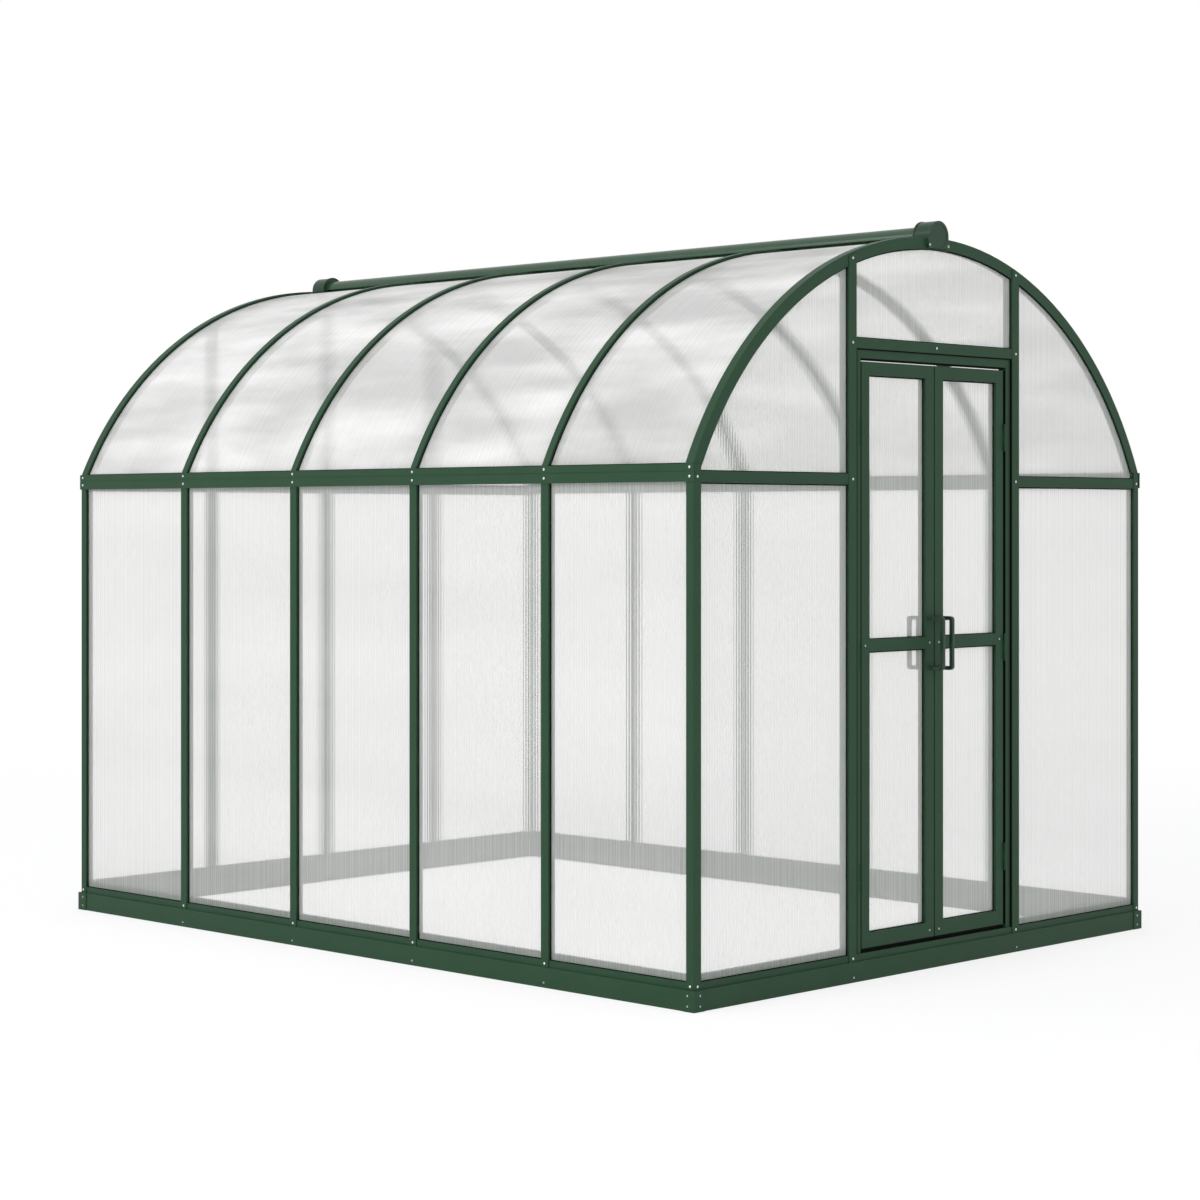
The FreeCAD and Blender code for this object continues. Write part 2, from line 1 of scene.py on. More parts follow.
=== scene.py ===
# %% [markdown]
# # Dressing a polycarbonate greenhouse
# The greenhouse is a kit of green aluminium bars with fluted plastic sheets between them.
# Its bars, sheets, doors and hinges arrive as finished solids, which are never moved or reshaped here.
# This lesson adds what the solids leave out: the finish of every surface, the black rubber round the
# sheets and the doorway, squarer door pulls and the screws. It also sets up the light and the camera.

# %% Load the solids
import json
import math

import bpy
from mathutils import Matrix, Vector


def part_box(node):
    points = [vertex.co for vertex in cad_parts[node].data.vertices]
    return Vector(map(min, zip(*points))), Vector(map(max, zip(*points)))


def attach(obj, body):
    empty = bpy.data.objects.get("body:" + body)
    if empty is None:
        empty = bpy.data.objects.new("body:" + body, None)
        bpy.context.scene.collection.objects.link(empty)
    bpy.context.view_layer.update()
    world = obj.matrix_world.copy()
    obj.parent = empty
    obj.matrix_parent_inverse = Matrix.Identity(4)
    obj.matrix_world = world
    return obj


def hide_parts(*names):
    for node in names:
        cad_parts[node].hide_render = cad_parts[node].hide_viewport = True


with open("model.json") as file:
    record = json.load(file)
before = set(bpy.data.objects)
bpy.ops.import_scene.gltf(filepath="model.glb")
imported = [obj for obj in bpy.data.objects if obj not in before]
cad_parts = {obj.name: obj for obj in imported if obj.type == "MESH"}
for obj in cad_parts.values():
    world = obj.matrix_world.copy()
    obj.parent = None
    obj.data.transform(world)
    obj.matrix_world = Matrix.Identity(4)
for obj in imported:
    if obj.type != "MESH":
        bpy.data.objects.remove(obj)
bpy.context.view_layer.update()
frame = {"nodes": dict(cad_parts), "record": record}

nodes = frame["nodes"]
mm = 0.001

# %% [markdown]
# The picture is a plain catalogue view: the camera stands off one corner, level, at eye height,
# and its lens is shifted down a little so that the posts stay upright in the frame.
# A level camera with a shift is how a building is photographed, and tilting it would lean every post.

# %% Camera
camera_place = (-7.300, -7.140, 1.479)
camera_level = 90.0
camera_turn = -45.693
focal_pixels = 2749.8
horizon_row = 520.15
image_side = 1200
sensor = 36.0

bpy.ops.object.camera_add(location=camera_place,
                          rotation=(math.radians(camera_level), 0, math.radians(camera_turn)))
camera = bpy.context.object
camera.data.sensor_width = sensor
camera.data.lens = sensor * focal_pixels / image_side
camera.data.shift_y = (horizon_row - image_side / 2) / image_side
bpy.context.scene.camera = camera
bpy.context.scene.view_settings.view_transform = "Standard"
print("lens", round(camera.data.lens, 1), "mm, shift", round(camera.data.shift_y, 4))

# %% [markdown]
# Every finish below is a small graph of nodes. One helper adds a node, sets its values and wires its
# inputs, and another turns a colour picked on a screen, as hex, into the linear light that shaders use.

# %% Helpers for finishes
def linear(code):
    """A hex colour as linear red, green, blue and alpha."""
    parts = [int(code[n:n + 2], 16) / 255 for n in (1, 3, 5)]
    light = [c / 12.92 if c <= 0.04045 else ((c + 0.055) / 1.055) ** 2.4 for c in parts]
    return (*light, 1.0)


def add_node(tree, kind, settings=None, links=None):
    """Adds a node. A setting names a property or an input, and a link an input and what feeds it."""
    node = tree.nodes.new(kind)
    for name, value in (settings or {}).items():
        if isinstance(name, str) and hasattr(node, name):
            setattr(node, name, value)
        else:
            node.inputs[name].default_value = value
    for name, source in (links or {}).items():
        tree.links.new(source, node.inputs[name])
    return node


def new_material(name):
    """An empty node material, with its tree and its output."""
    material = bpy.data.materials.new(name)
    material.use_nodes = True
    tree = material.node_tree
    tree.nodes.clear()
    return material, tree, tree.nodes.new("ShaderNodeOutputMaterial")


def per_metre(size_mm):
    """The scale of a noise whose patches are this wide."""
    return 1000.0 / size_mm


# a Mix node keeps its colour sockets at these numbers
COLOUR_A = 6
COLOUR_B = 7
COLOUR_OUT = 2
print("middle grey on a screen is", round(linear("#808080")[0], 3), "in linear light")

# %% [markdown]
# The world is white in the picture, and gives a soft even light.
# A white page behind the house comes from what the camera, mirrors and clear plastic see,
# and not from stronger lamps, so the green of the bars stays the colour that was written for it.

# %% White page
sky_strength = 0.95


def seen_directly(tree):
    """1 for rays that show the background: from the camera, in a reflection or through clear plastic."""
    outputs = add_node(tree, "ShaderNodeLightPath").outputs
    mirror = add_node(tree, "ShaderNodeMath", {"operation": "MAXIMUM"},
                      {0: outputs["Is Camera Ray"], 1: outputs["Is Glossy Ray"]})
    clear = add_node(tree, "ShaderNodeMath", {"operation": "MAXIMUM"},
                     {0: mirror.outputs[0], 1: outputs["Is Transmission Ray"]})
    return clear.outputs[0]


world = bpy.data.worlds.new("white_page")
world.use_nodes = True
bpy.context.scene.world = world
tree = world.node_tree
tree.nodes.clear()
sky = add_node(tree, "ShaderNodeBackground", {"Color": linear("#F4F6F8"), "Strength": sky_strength})
page = add_node(tree, "ShaderNodeBackground", {"Color": (1, 1, 1, 1), "Strength": 1.0})
mixed = add_node(tree, "ShaderNodeMixShader", {},
                 {0: seen_directly(tree), 1: sky.outputs[0], 2: page.outputs[0]})
add_node(tree, "ShaderNodeOutputWorld", {}, {"Surface": mixed.outputs[0]})
print("sky of strength", sky_strength)

# %% [markdown]
# Near the house the floor keeps some of its own shading, for the shadow, and further off it fades into
# the page, so that no horizon shows.

# %% Floor
page_share = 0.72
floor_size = 60.0
near_floor = 3.0
far_floor = 8.0

bpy.ops.object.select_all(action="DESELECT")
bpy.ops.mesh.primitive_plane_add(size=floor_size, location=(0, 0, 0))
floor = bpy.context.object
floor.name = "studio_floor"
material, tree, output = new_material("pale_studio_floor")
matt = add_node(tree, "ShaderNodeBsdfDiffuse", {"Color": linear("#F8F8F7")})
glow = add_node(tree, "ShaderNodeEmission", {"Color": (1, 1, 1, 1), "Strength": 1.0})
place = add_node(tree, "ShaderNodeTexCoord").outputs["Object"]
distance = add_node(tree, "ShaderNodeVectorMath", {"operation": "LENGTH"}, {0: place})
fade = add_node(tree, "ShaderNodeMapRange",
                {"From Min": near_floor, "From Max": far_floor, "To Min": page_share},
                {"Value": distance.outputs["Value"]})
share = add_node(tree, "ShaderNodeMath", {"operation": "MULTIPLY"},
                 {0: fade.outputs[0], 1: seen_directly(tree)})
mixed = add_node(tree, "ShaderNodeMixShader", {},
                 {0: share.outputs[0], 1: matt.outputs[0], 2: glow.outputs[0]})
tree.links.new(mixed.outputs[0], output.inputs["Surface"])
floor.data.materials.append(material)
print("floor", floor_size, "m wide")

# %% [markdown]
# Two large soft boxes model the bars: a key from the upper left, on the side of the long wall,
# and a weaker fill in front of the doors. They are as big as the house, so no shadow has a hard edge.
# A small third box stands towards the back, where the round ridge mirrors it to the camera as a bright
# line.

# %% Soft boxes
house_middle = (0, 0, 1.2)


def soft_box(name, place, side, watts):
    """A square lamp that looks at the middle of the house."""
    bpy.ops.object.light_add(type="AREA", location=place)
    lamp = bpy.context.object
    lamp.name = name
    lamp.data.size = side
    lamp.data.energy = watts
    # the sheets let lamp light straight through, so a ray that a sheet has bent must not meet the lamp again
    lamp.visible_transmission = False
    aim = Vector(house_middle) - Vector(place)
    lamp.rotation_euler = aim.to_track_quat("-Z", "Y").to_euler()


soft_box("key_soft_box", (-9.0, -1.0, 7.5), side=5.0, watts=390)
soft_box("rim_soft_box", (-8.6, 5.5, 7.0), side=1.6, watts=100)
soft_box("fill_soft_box", (2.0, -9.0, 4.0), side=5.0, watts=25)
print("three soft boxes")

# %% [markdown]
# The bars are extruded aluminium with a baked powder coat. The powder melts into a satin skin with a
# faint orange peel, so the green shifts a little from place to place and the gloss is never quite even.
# The peel is about 2 mm across, which is too fine for this picture, so a broad and weak mottle is added
# for the eye and the true peel is left as a bump.
# The ridge cover is glossier, and the moulded caps and the pulls are darker, with the same kind of skin.

# %% Powder-coated aluminium
mottle_mm = 90.0
peel_mm = 2.0
peel_height = 0.03 * mm
peel_strength = 0.25
gloss_swing = 0.06


def coated_metal(name, dark, light, roughness, shine):
    """Powder coat: two close shades in broad patches, and a fine peel in the gloss."""
    material, tree, output = new_material(name)
    place = add_node(tree, "ShaderNodeTexCoord").outputs["Object"]
    mottle = add_node(tree, "ShaderNodeTexNoise", {"Scale": per_metre(mottle_mm), "Detail": 3.0},
                      {"Vector": place})
    peel = add_node(tree, "ShaderNodeTexNoise", {"Scale": per_metre(peel_mm), "Detail": 1.0},
                    {"Vector": place})
    shade = add_node(tree, "ShaderNodeMix",
                     {"data_type": "RGBA", COLOUR_A: linear(dark), COLOUR_B: linear(light)},
                     {0: mottle.outputs["Fac"]})
    gloss = add_node(tree, "ShaderNodeMapRange",
                     {"To Min": roughness - gloss_swing, "To Max": roughness + gloss_swing},
                     {"Value": mottle.outputs["Fac"]})
    relief = add_node(tree, "ShaderNodeBump", {"Strength": peel_strength, "Distance": peel_height},
                      {"Height": peel.outputs["Fac"]})
    coat = add_node(tree, "ShaderNodeBsdfPrincipled", {"Specular IOR Level": shine},
                    {"Base Color": shade.outputs[COLOUR_OUT], "Roughness": gloss.outputs[0],
                     "Normal": relief.outputs[0]})
    tree.links.new(coat.outputs[0], output.inputs["Surface"])
    return material


green_coat = coated_metal("powder_coated_aluminium", "#25412D", "#2C4834", roughness=0.45, shine=0.13)
ridge_coat = coated_metal("gloss_coated_aluminium", "#27442F", "#2E4B36", roughness=0.25, shine=0.38)
pull_coat = coated_metal("semi_gloss_coated_steel", "#1B3224", "#233B2C", roughness=0.30, shine=0.3)
cap_plastic = coated_metal("moulded_green_plastic", "#1F3828", "#253F2E", roughness=0.34, shine=0.24)
print("coats:", green_coat.name, ridge_coat.name, pull_coat.name, cap_plastic.name)

# %% [markdown]
# The screws are zinc-plated steel: a bright, slightly cloudy metal.
# A metal needs no diffuse colour, only a reflection tinted by its base colour, which the noise clouds.

# %% Zinc plate
zinc_cloud_mm = 3.0
zinc_bright, zinc_dull = 0.22, 0.38

zinc, tree, output = new_material("zinc_plated_steel")
place = add_node(tree, "ShaderNodeTexCoord").outputs["Object"]
cloud = add_node(tree, "ShaderNodeTexNoise", {"Scale": per_metre(zinc_cloud_mm), "Detail": 2.0},
                 {"Vector": place})
tint = add_node(tree, "ShaderNodeMix",
                {"data_type": "RGBA", COLOUR_A: linear("#C6C9C8"), COLOUR_B: linear("#E4E6E5")},
                {0: cloud.outputs["Fac"]})
dull = add_node(tree, "ShaderNodeMapRange", {"To Min": zinc_bright, "To Max": zinc_dull},
                {"Value": cloud.outputs["Fac"]})
plate = add_node(tree, "ShaderNodeBsdfPrincipled", {"Metallic": 1.0},
                 {"Base Color": tint.outputs[COLOUR_OUT], "Roughness": dull.outputs[0]})
tree.links.new(plate.outputs[0], output.inputs["Surface"])
print("metal:", zinc.name)

# %% [markdown]
# The seals and linings are extruded black rubber: nearly no gloss, and a faint grey bloom that comes to
# its surface with age. Soft patches of two close blacks stand for the bloom.

# %% Rubber
bloom_mm = 25.0

rubber, tree, output = new_material("extruded_black_rubber")
place = add_node(tree, "ShaderNodeTexCoord").outputs["Object"]
bloom = add_node(tree, "ShaderNodeTexNoise", {"Scale": per_metre(bloom_mm), "Detail": 3.0},
                 {"Vector": place})
tint = add_node(tree, "ShaderNodeMix",
                {"data_type": "RGBA", COLOUR_A: linear("#030403"), COLOUR_B: linear("#090A09")},
                {0: bloom.outputs["Fac"]})
skin = add_node(tree, "ShaderNodeBsdfPrincipled", {"Roughness": 0.8, "Specular IOR Level": 0.1},
                {"Base Color": tint.outputs[COLOUR_OUT]})
tree.links.new(skin.outputs[0], output.inputs["Surface"])
print("rubber:", rubber.name)

# %% [markdown]
# The sheets are extruded twin-wall polycarbonate: two thin skins held apart by ribs, with long flutes
# between them. Each flute is a weak lens that bends light sideways, so a post on the far side is spread
# into a faint upright band, while a sill, which lies across the flutes, stays sharp and dark.
# It could be made as thick glass, but glass of that kind is slow and bends far too much. So each skin is a
# film that bends light a little, with a bump that follows the flutes, mixed with some milk. The milk is
# half plastic that sends light back and half a shader that lets it through from behind, because a hazy
# sheet glows with the light on its far side. A shadow ray meets a plain clear film instead, so the lamps
# and the floor see each other through the sheet.
# The true flutes are about 6 mm apart, and are drawn 12 mm apart so that they show in the picture.
# No two ribs are quite alike, so the share of milk also changes across the sheet in uneven streaks.
# Broad, weak grey clouds mixed into the sheet's colour are painted reflections: they stand for the soft grey
# bands that the studio leaves in such a sheet.

# %% Fluted polycarbonate
# a Wave node's bands at scale 1 repeat after this many metres
WAVE_TURN = 2 * math.pi / 20
flute_mm = 12.0
flute_relief = 0.1 * mm
flute_strength = 0.5
# a film seen as two thin skins bends much less than solid plastic, so its index is near that of air
lens_ior = 1.05
lens_relief = 0.16 * mm
streak_mm = 9.0
flute_weight = 0.15
rib_low, rib_high = 0.5, 0.75
haze_swing = 0.07
reflection_low, reflection_high = 0.35, 0.65
glow_share = 0.5


def fluted_polycarbonate(name, across, reflection_grey, reflection_patch_mm, milk_share):
    """Twin-wall sheet whose flutes follow each other along the axis named by across."""
    material, tree, output = new_material(name)
    place = add_node(tree, "ShaderNodeTexCoord").outputs["Object"]
    axes = add_node(tree, "ShaderNodeSeparateXYZ", {}, {0: place})
    flutes = add_node(tree, "ShaderNodeTexWave",
                      {"bands_direction": across, "Scale": WAVE_TURN / (flute_mm * mm)}, {"Vector": place})
    streaks = add_node(tree, "ShaderNodeTexNoise",
                       {"noise_dimensions": "1D", "Scale": per_metre(streak_mm), "Detail": 2.0},
                       {"W": axes.outputs[across]})
    ribs = add_node(tree, "ShaderNodeMath", {"operation": "MULTIPLY_ADD", 1: flute_weight},
                    {0: flutes.outputs["Fac"], 2: streaks.outputs["Fac"]})
    haze = add_node(tree, "ShaderNodeMapRange",
                    {"From Min": rib_low, "From Max": rib_high,
                     "To Min": milk_share, "To Max": milk_share + haze_swing},
                    {"Value": ribs.outputs[0]})
    spread = add_node(tree, "ShaderNodeMapping", {"Scale": [per_metre(size) for size in reflection_patch_mm]},
                      {"Vector": place})
    clouds = add_node(tree, "ShaderNodeTexNoise", {"Scale": 1.0, "Detail": 3.0},
                      {"Vector": spread.outputs[0]})
    cover = add_node(tree, "ShaderNodeMapRange", {"From Min": reflection_low, "From Max": reflection_high},
                     {"Value": clouds.outputs["Fac"]})
    # the grey clouds mixed into the tint are painted reflections of the studio
    tint = add_node(tree, "ShaderNodeMix",
                    {"data_type": "RGBA", COLOUR_A: linear(reflection_grey), COLOUR_B: linear("#FDFDFC")},
                    {0: cover.outputs[0]})
    relief = add_node(tree, "ShaderNodeBump", {"Strength": flute_strength, "Distance": flute_relief},
                      {"Height": flutes.outputs["Fac"]})
    plastic = add_node(tree, "ShaderNodeBsdfPrincipled",
                       {"Roughness": 0.30, "IOR": 1.58, "Specular IOR Level": 0.8},
                       {"Base Color": tint.outputs[COLOUR_OUT], "Normal": relief.outputs[0]})
    glow = add_node(tree, "ShaderNodeBsdfTranslucent", {}, {"Color": tint.outputs[COLOUR_OUT]})
    milk = add_node(tree, "ShaderNodeMixShader", {0: glow_share},
                    {1: plastic.outputs[0], 2: glow.outputs[0]})
    lens = add_node(tree, "ShaderNodeBump", {"Strength": 1.0, "Distance": lens_relief},
                    {"Height": flutes.outputs["Fac"]})
    film = add_node(tree, "ShaderNodeBsdfRefraction",
                    {"Color": linear("#FEFEFE"), "Roughness": 0.0, "IOR": lens_ior},
                    {"Normal": lens.outputs[0]})
    sheet = add_node(tree, "ShaderNodeMixShader", {},
                     {0: haze.outputs[0], 1: film.outputs[0], 2: milk.outputs[0]})
    clear = add_node(tree, "ShaderNodeBsdfTransparent", {"Color": linear("#E6E6E5")})
    rays = add_node(tree, "ShaderNodeLightPath")
    mixed = add_node(tree, "ShaderNodeMixShader", {},
                     {0: rays.outputs["Is Shadow Ray"], 1: sheet.outputs[0], 2: clear.outputs[0]})
    tree.links.new(mixed.outputs[0], output.inputs["Surface"])
    return material


print("flutes drawn", flute_mm, "mm apart")

# %% [markdown]
# Three sheets are made from that recipe. The flutes follow each other along the house in the long walls and
# the roof, and across it in the ends and doors. The roof has more milk, and smaller, darker clouds of
# painted reflection, because it is seen at a slant and against the sky.

# %% Sheets for the walls, ends and roof
# sizes of the grey patches of painted reflection in the walls and the roof
wall_reflection_patches = (3000.0, 3000.0, 450.0)
roof_reflection_patches = (150.0, 700.0, 150.0)
wall_milk = 0.28
roof_milk = 0.53

wall_sheet = fluted_polycarbonate("fluted_polycarbonate_side", "Y", "#F0F0EF", wall_reflection_patches, wall_milk)
gable_sheet = fluted_polycarbonate("fluted_polycarbonate_gable", "X", "#F8F8F7", wall_reflection_patches, wall_milk)
roof_sheet = fluted_polycarbonate("fluted_polycarbonate_roof", "Y", "#D9D9D8", roof_reflection_patches, roof_milk)
print("sheets:", wall_sheet.name, gable_sheet.name, roof_sheet.name)

# %% [markdown]
# Each solid is given its finish by the slot that the record names for it, so no list of pieces is kept.
# Only the sheets and the glossy ridge cover are told apart by their names.

# %% Finish the solids
# the hinges are painted after they are put together, so the ends of their pins are green too
finishes = {"frame_coating": green_coat, "cap_plastic": cap_plastic, "pull_coating": pull_coat,
            "hinge_pin_steel": green_coat}
for part in frame["record"]["subparts"]:
    name = part["node"]
    if name.startswith("roof_sheets"):
        finish = roof_sheet
    elif name.startswith("wall_sheets"):
        finish = wall_sheet
    elif name == "ridge_cover":
        finish = ridge_coat
    else:
        finish = finishes.get(part["material_slot"], gable_sheet)
    solid = nodes[name]
    solid.data.materials.clear()
    solid.data.materials.append(finish)

# %% [markdown]
# Modelling with operators needs a few moves again and again: selecting one piece alone, copying a solid
# into a mesh of its own, applying a modifier and joining pieces. A solid's mesh is loose triangles, so a
# copy is welded and its flat faces are merged before anything is done to it.

# %% Helpers for meshes
weld = 0.01 * mm
flat_degrees = 0.1
# how far a face's normal leans the wanted way, at least: roughly, or straight
roughly, straight = 0.3, 0.9


def pick(piece):
    """Makes a piece the only selected one."""
    bpy.ops.object.select_all(action="DESELECT")
    piece.select_set(True)
    bpy.context.view_layer.objects.active = piece


def free_copy(solid, name):
    """A copy of a solid with its own welded mesh, which nothing else depends on."""
    piece = solid.copy()
    piece.data = solid.data.copy()
    piece.name = name
    piece.data.name = name
    piece.parent = None
    for key in list(piece.keys()):
        del piece[key]
    bpy.context.scene.collection.objects.link(piece)
    pick(piece)
    bpy.ops.object.mode_set(mode="EDIT")
    bpy.ops.mesh.select_mode(type="FACE")
    bpy.ops.mesh.select_all(action="SELECT")
    bpy.ops.mesh.remove_doubles(threshold=weld)
    bpy.ops.mesh.dissolve_limited(angle_limit=math.radians(flat_degrees))
    bpy.ops.mesh.select_all(action="DESELECT")
    bpy.ops.object.mode_set(mode="OBJECT")
    bpy.ops.mesh.customdata_custom_splitnormals_clear()
    return piece


def apply_modifier(piece, kind, **settings):
    """Gives the active piece a modifier with its settings, and applies it."""
    modifier = piece.modifiers.new(kind.lower(), kind)
    for key, value in settings.items():
        setattr(modifier, key, value)
    bpy.ops.object.modifier_apply(modifier=modifier.name)


def join(pieces, name):
    """Joins pieces into the first of them, under a name."""
    pick(pieces[0])
    for piece in pieces:
        piece.select_set(True)
    bpy.ops.object.join()
    joined = bpy.context.object
    joined.name = name
    joined.data.name = name
    return joined


print("copies are welded at", weld / mm, "mm")

# %% [markdown]
# A black rubber seal runs round the outer face of every sheet and presses it into the grooves of the bars.
# Its black is partly painted shade: it also stands for the shade in the recess between each sheet and its
# bars.
# It could be drawn as a tube along the four edges, but the sheet already has the right outline, also
# under the arches. So each sheet is copied, only its outer face is kept, the part inside the groove is
# inset away, a second inset leaves a narrow ring, and Solidify gives that ring its thickness.

# %% Seals round the sheets
seal_hidden = 4.8 * mm
seal_width = 4.0 * mm
seal_height = 2.0 * mm
seal_edge = 0.5 * mm
short_edge = 3.0 * mm
doors = ("left_door", "right_door")
left, right, front, rear, up = (-1, 0, 0), (1, 0, 0), (0, -1, 0), (0, 1, 0), (0, 0, 1)


def seal(sheet, outward, body):
    """The ring of rubber on the faces of a sheet's node that look outward."""
    piece = free_copy(nodes[sheet], sheet.replace("sheet", "seal"))
    for face in piece.data.polygons:
        face.select = face.normal.dot(Vector(outward)) > roughly
    bpy.ops.object.mode_set(mode="EDIT")
    bpy.ops.mesh.select_all(action="INVERT")
    bpy.ops.mesh.delete(type="FACE")
    bpy.ops.mesh.select_all(action="SELECT")
    bpy.ops.mesh.inset(thickness=seal_hidden)
    bpy.ops.mesh.select_all(action="INVERT")
    bpy.ops.mesh.delete(type="FACE")
    bpy.ops.mesh.select_all(action="SELECT")
    # the narrow end of a gable sheet is left with an edge too short for the second inset
    bpy.ops.mesh.remove_doubles(threshold=short_edge)
    bpy.ops.mesh.inset(thickness=seal_width)
    bpy.ops.mesh.delete(type="FACE")
    bpy.ops.object.mode_set(mode="OBJECT")
    apply_modifier(piece, "SOLIDIFY", thickness=seal_height, offset=1.0, use_even_offset=True)
    apply_modifier(piece, "BEVEL", width=seal_edge, segments=1, limit_method="ANGLE")
    # the black ring is partly a real seal and partly painted shade of the recess beside the bars
    piece.data.materials.clear()
    piece.data.materials.append(rubber)
    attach(piece, body)
    return piece


glazed = [("wall_sheets_left", left), ("wall_sheets_right", right), ("roof_sheets_left", up),
          ("roof_sheets_right", up), ("front_sheet_left", front), ("front_sheet_right", front),
          ("gable_sheet_left", front), ("gable_sheet_right", front), ("transom_sheet", front),
          ("rear_sheets", rear), ("rear_gable_sheets", rear)]
seals = [seal(sheet, outward, "frame") for sheet, outward in glazed]
seals += [seal(door + "_sheets", front, door) for door in doors]
print(len(seals), "seals,", sum(len(s.data.polygons) for s in seals), "faces")

# %% [markdown]
# A black rubber sweep hangs under each door and closes the gap above the sill, so that gap is drawn black.
# It is a plain strip with a lip: a block at its size and place, whose lower face is pulled down and
# narrowed by an extrude and a scale.

# %% Door sweeps
sweep_depth = 10.0 * mm
sweep_back = 3.0 * mm
sweep_clear = 2.0 * mm
sweep_lip = 5.0 * mm
lip_taper = 0.7


def door_sweep(door):
    """The strip under a door, down to just over the sill."""
    low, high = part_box(door + "_rails")
    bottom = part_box("door_jamb_left")[0].z + sweep_clear
    middle = ((low.x + high.x) / 2, low.y + sweep_back + sweep_depth / 2, (bottom + sweep_lip + low.z) / 2)
    bpy.ops.object.select_all(action="DESELECT")
    bpy.ops.mesh.primitive_cube_add(size=1, location=middle,
                                    scale=(high.x - low.x, sweep_depth, low.z - bottom - sweep_lip))
    piece = bpy.context.object
    piece.name = door + "_sweep"
    bpy.ops.object.transform_apply(location=True, rotation=True, scale=True)
    for face in piece.data.polygons:
        face.select = face.normal.z < -straight
    bpy.ops.object.mode_set(mode="EDIT")
    bpy.ops.mesh.extrude_region_move(TRANSFORM_OT_translate={"value": (0, 0, -sweep_lip)})
    bpy.ops.transform.resize(value=(1, lip_taper, 1))
    bpy.ops.object.mode_set(mode="OBJECT")
    piece.data.materials.append(rubber)
    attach(piece, door)
    return piece


sweeps = [door_sweep(door) for door in doors]
print("sweeps:", [piece.name for piece in sweeps])

# %% [markdown]
# The other rubber at the doors is made of blocks at their size and place, with bevelled edges as moulded
# rubber has them. Everything is placed for the right-hand door and flipped for the left one.
# The strips stop at the hinges. These are found in their node, whose points come in runs with wide gaps
# between them, one run for each hinge.

# %% Blocks of rubber
X, Y, Z = range(3)
solid_gap = 100.0 * mm
strip_edge = 0.4 * mm


def middles(node, axis):
    """The middle of each solid of a node along an axis on which the solids stand well apart."""
    values = sorted(v.co[axis] for v in nodes[node].data.vertices)
    starts = [0] + [n for n in range(1, len(values)) if values[n] - values[n - 1] > solid_gap]
    ends = starts[1:] + [len(values)]
    return [(values[a] + values[b - 1]) / 2 for a, b in zip(starts, ends)]


def rubber_block(low, high):
    """A bevelled block of rubber between two corners."""
    middle = [(a + b) / 2 for a, b in zip(low, high)]
    bpy.ops.object.select_all(action="DESELECT")
    bpy.ops.mesh.primitive_cube_add(size=1, location=middle, scale=[b - a for a, b in zip(low, high)])
    piece = bpy.context.object
    bpy.ops.object.transform_apply(location=True, rotation=True, scale=True)
    apply_modifier(piece, "BEVEL", width=strip_edge, segments=2)
    piece.data.materials.append(rubber)
    return piece


def rubber_piece(name, body, corners):
    """Blocks between pairs of corners, joined into one piece on a body."""
    piece = join([rubber_block(low, high) for low, high in corners], name)
    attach(piece, body)
    return piece


def flipped(corners):
    """The same corners on the other side of the house's middle."""
    return [((-high[0], *low[1:]), (-low[0], *high[1:])) for low, high in corners]


hinge_heights = middles("right_door_hinge_leaves", Z)
print("hinges at heights in m:", [round(z, 3) for z in hinge_heights])

# %% [markdown]
# Black rubber lines the doorway, so that the slits round the doors look black and let no daylight
# through: a strip on the edge of each jamb and of each door between the hinges, a stop behind each jamb,
# a mat on the sill and a lip under the header. A black strip also fills the step from the jambs to the door
# posts and from the header to the transom. It is painted shade: it draws the step's shadow as a dark line
# round the doorway. The doors swing outward, and their edges turn away from the jambs as they do, so nothing
# rubs.

# %% Rubber round the doorway
strip_depth = 2.5 * mm
strip_in = 1.0 * mm
stop_depth = 5.0 * mm
stop_gap = 3.5 * mm
mat_height = 1.2 * mm
head_gap = 3.5 * mm
head_depth = 10.0 * mm
hinge_room = 48.0 * mm
shade_strip_width = 4.0 * mm
shade_strip_sunk = 1.5 * mm

leaf_low, leaf_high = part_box("right_door_rails")
jamb_low, jamb_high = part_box("door_jamb_right")
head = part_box("door_header")[0].z
breaks = [z + way * hinge_room for z in hinge_heights for way in (-1, 1)]
ends = [leaf_low.z, *breaks, leaf_high.z]
runs = list(zip(ends[::2], ends[1::2]))
strip_front = leaf_low.y + strip_in
jamb_front = jamb_low.y + strip_in
jamb_strips = [((jamb_low.x - strip_depth, jamb_front, a), (jamb_low.x, jamb_high.y, b)) for a, b in runs]
leaf_strips = [((leaf_high.x, strip_front, a), (leaf_high.x + strip_depth, leaf_high.y - strip_in, b))
               for a, b in runs]
reach = leaf_high.x + stop_gap
stop = [((reach, jamb_high.y, jamb_low.z), (jamb_high.x, jamb_high.y + stop_depth, jamb_high.z))]
mat = [((-reach, jamb_front, jamb_low.z), (reach, leaf_high.y, jamb_low.z + mat_height))]
lip = [((-reach, strip_front, leaf_high.z + head_gap), (reach, strip_front + head_depth, head))]
transom_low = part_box("door_transom")[0]
# a black strip in the step from the jambs and the header to the posts and the transom: painted shade of that
# step
post_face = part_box("door_post_right")[0].y + shade_strip_sunk
rail_face = transom_low.y + shade_strip_sunk
shade_strip_low = transom_low.z - shade_strip_width
step_shade_strip = [((jamb_high.x - shade_strip_width, post_face, jamb_low.z), (jamb_high.x, jamb_low.y, transom_low.z))]
head_shade_strip = [((-jamb_high.x, rail_face, shade_strip_low), (jamb_high.x, jamb_low.y, transom_low.z))]

